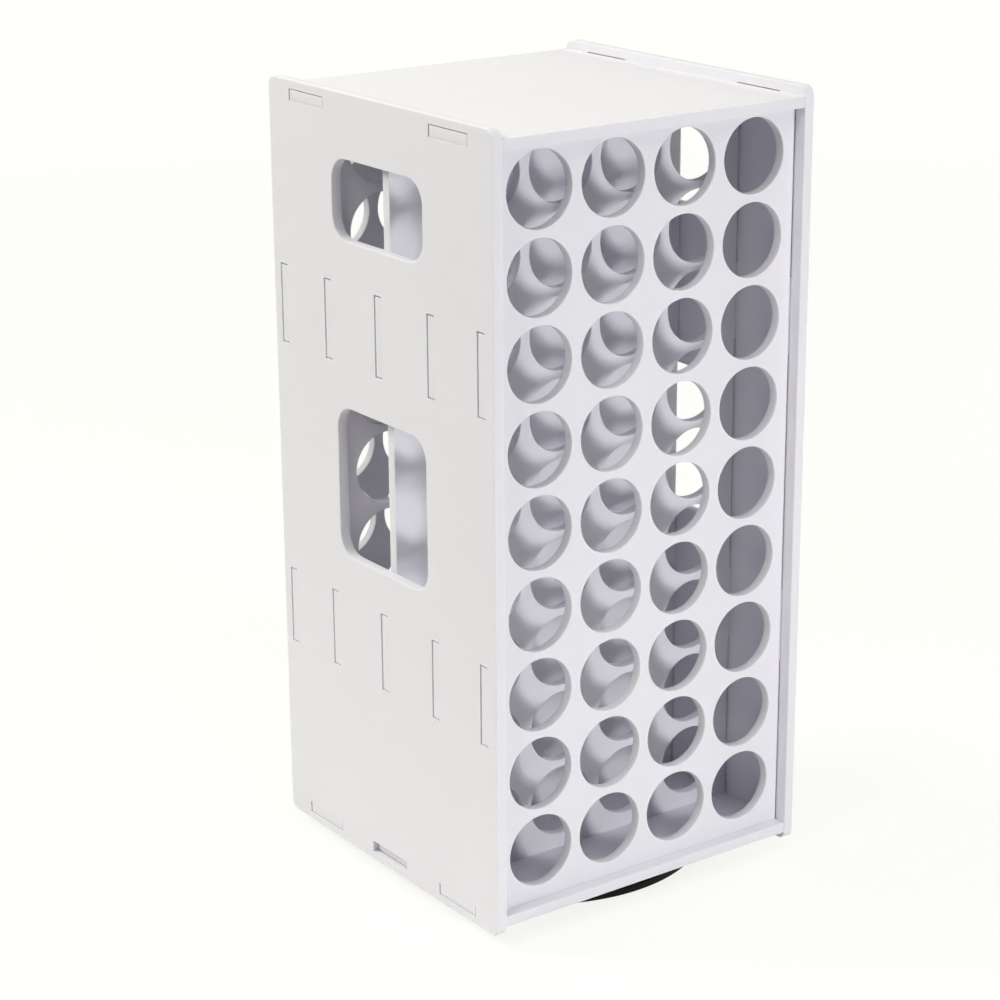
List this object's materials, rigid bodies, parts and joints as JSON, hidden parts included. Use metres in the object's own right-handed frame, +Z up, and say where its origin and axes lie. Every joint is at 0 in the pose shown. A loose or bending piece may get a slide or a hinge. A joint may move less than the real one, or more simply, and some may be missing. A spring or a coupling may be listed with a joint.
{
  "type": "rotating paint bottle rack",
  "caption": "Two-sided rack of white tab-and-slot boards with rows of round bottle holes, standing on a ball-bearing turntable that turns without limit.",
  "frame": {"origin": "on the table under the rack, on the axis that it turns about", "axes": "+Z up along the spin axis; the front hole panel faces -Y and +X runs along it to the right"},
  "size_m": [0.192, 0.192, 0.4065],
  "materials": {
    "board_white": "satin foam board",
    "turntable_black": "moulded, fine grain",
    "steel": "zinc plated",
    "nylon": "natural nylon",
    "rubber": "matte"
  },
  "bodies": {
    "base": {"turntable_base": "turntable_black", "base_pads": "rubber", "pivot_pin": "steel", "thrust_washer": "nylon", "pin_washer": "steel", "push_nut": "steel"},
    "rack": {"left_side_panel": "board_white", "right_side_panel": "board_white", "top_panel": "board_white", "bottom_panel": "board_white", "front_hole_panel": "board_white", "front_inner_panel": "board_white", "centre_divider": "board_white", "rear_inner_panel": "board_white", "rear_hole_panel": "board_white", "turntable_plate": "turntable_black", "mounting_screws": "steel", "screw_washers": "steel"},
    "bearing": {"ball_cage": "nylon", "bearing_balls": "steel"}
  },
  "joints": [
    {"name": "rack_spin", "type": "hinge", "parent": "base", "child": "rack", "pos_m": [0, 0, 0.006], "axis": [0, 0, 1], "continuous": true},
    {"name": "cage_spin", "type": "hinge", "parent": "base", "child": "bearing", "pos_m": [0, 0, 0.006], "axis": [0, 0, 1], "continuous": true}
  ],
  "couplings": [
    {"joint": "cage_spin", "follows": "rack_spin", "ratio": 0.5}
  ]
}
